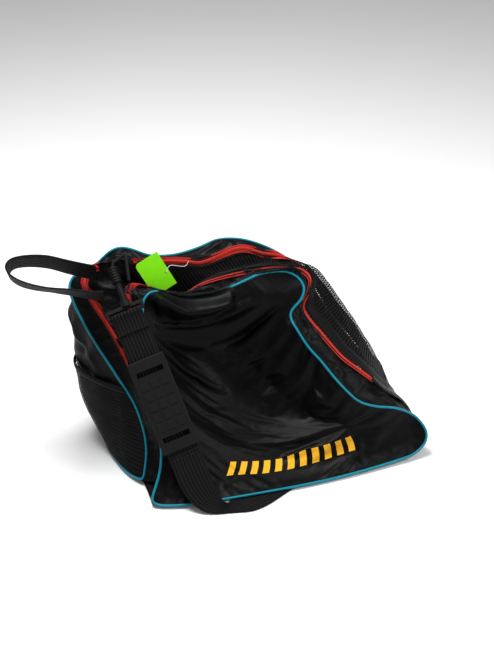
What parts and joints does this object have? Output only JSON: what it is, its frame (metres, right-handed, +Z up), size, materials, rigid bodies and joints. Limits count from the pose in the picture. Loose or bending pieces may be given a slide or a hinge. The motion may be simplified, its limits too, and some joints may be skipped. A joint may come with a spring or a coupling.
{
  "type": "skate bag",
  "caption": "Slumped soft carry bag for skates with two zipped panels, see-through mesh gusset, side pocket, carry handle and padded shoulder strap.",
  "frame": {"origin": "middle of the flat underside the bag rests on", "axes": "+X along the bag's length to its right end, -Y towards the front panel, +Z up"},
  "size_m": [0.6079, 0.3403, 0.3367],
  "materials": {
    "nylon": "coated, slight sheen",
    "mesh": "open ribbed knit",
    "binding": "satin",
    "piping": "satin",
    "zip_red": "satin",
    "metal": "semi-gloss",
    "webbing": "ribbed",
    "rubber": "matte",
    "plastic": "satin",
    "card": "matte",
    "clear": "satin"
  },
  "bodies": {
    "bag": {"front_panel": "nylon", "back_panel": "nylon", "base_panel": "nylon", "front_strip": "nylon", "back_strip": "nylon", "left_end_patch": "nylon", "right_end_patch": "nylon", "zip_end_cover": "nylon", "mesh_band": "mesh", "pocket_mesh": "mesh", "pocket_hem": "binding", "front_piping": "piping", "back_piping": "piping", "front_zip_tape": "zip_red", "back_zip_tape": "zip_red", "front_zip_coil": "zip_red", "back_zip_coil": "zip_red", "front_zip_stops": "metal", "back_zip_stops": "metal", "shoulder_strap": "webbing", "strap_fold": "webbing", "d_ring_tab": "webbing"},
    "handle": {"carry_handle": "webbing"},
    "pad": {"shoulder_pad": "rubber"},
    "frame_link": {"hook_frame": "plastic"},
    "hook": {"snap_hook": "plastic"},
    "gate": {"hook_gate": "plastic"},
    "ring": {"d_ring": "plastic"},
    "front_runner": {"front_slider": "metal"},
    "front_tab": {"front_pull": "metal"},
    "back_runner": {"back_slider": "metal"},
    "back_tab": {"back_pull": "metal"},
    "tag": {"hang_tag": "card", "tag_fastener": "clear"}
  },
  "joints": [
    {"name": "handle_swing", "type": "hinge", "parent": "bag", "child": "handle", "pos_m": [-0.246, 0.08, 0.279], "axis": [-0.084, 0.7354, 0.6724], "range_deg": [-8, 50]},
    {"name": "pad_slide", "type": "slide", "parent": "bag", "child": "pad", "axis": [0.2003, -0.6208, -0.758], "range_m": [-0.035, 0.012]},
    {"name": "frame_fold", "type": "hinge", "parent": "bag", "child": "frame_link", "pos_m": [-0.21729, 0.03214, 0.24463], "axis": [0.9445, -0.0854, 0.3171], "range_deg": [0, 45]},
    {"name": "hook_swivel", "type": "hinge", "parent": "frame_link", "child": "hook", "pos_m": [-0.21533, 0.04286, 0.25429], "axis": [-0.1299, 0.7896, 0.5997], "range_deg": [-120, 0]},
    {"name": "gate_press", "type": "hinge", "parent": "hook", "child": "gate", "pos_m": [-0.20973, 0.05635, 0.26775], "axis": [-0.3016, -0.6076, 0.7347], "range_deg": [0, 18], "stiffness_Nm_per_rad": 0.02, "springref_deg": -17.19},
    {"name": "ring_swing", "type": "hinge", "parent": "bag", "child": "ring", "pos_m": [-0.22249, 0.03127, 0.20453], "axis": [0.7704, -0.4502, 0.4514], "range_deg": [-30, 0]},
    {"name": "front_zip_run", "type": "slide", "parent": "bag", "child": "front_runner", "axis": [0.9996, -0.007, 0.027], "range_m": [-0.012, 0.006]},
    {"name": "front_tab_lift", "type": "hinge", "parent": "front_runner", "child": "front_tab", "pos_m": [-0.0196, 0.0669, 0.2696], "axis": [-0.008, -0.9991, 0.042], "range_deg": [0, 100]},
    {"name": "back_zip_run", "type": "slide", "parent": "bag", "child": "back_runner", "axis": [0.9764, -0.2141, 0.027], "range_m": [-0.006, 0.006]},
    {"name": "back_tab_lift", "type": "hinge", "parent": "back_runner", "child": "back_tab", "pos_m": [-0.1808, 0.0928, 0.291], "axis": [-0.04, -0.3021, -0.9524], "range_deg": [0, 8]},
    {"name": "tag_lean", "type": "hinge", "parent": "bag", "child": "tag", "pos_m": [-0.146, 0.071, 0.2505], "axis": [0.8988, 0.0616, 0.434], "range_deg": [0, 2.6]}
  ]
}
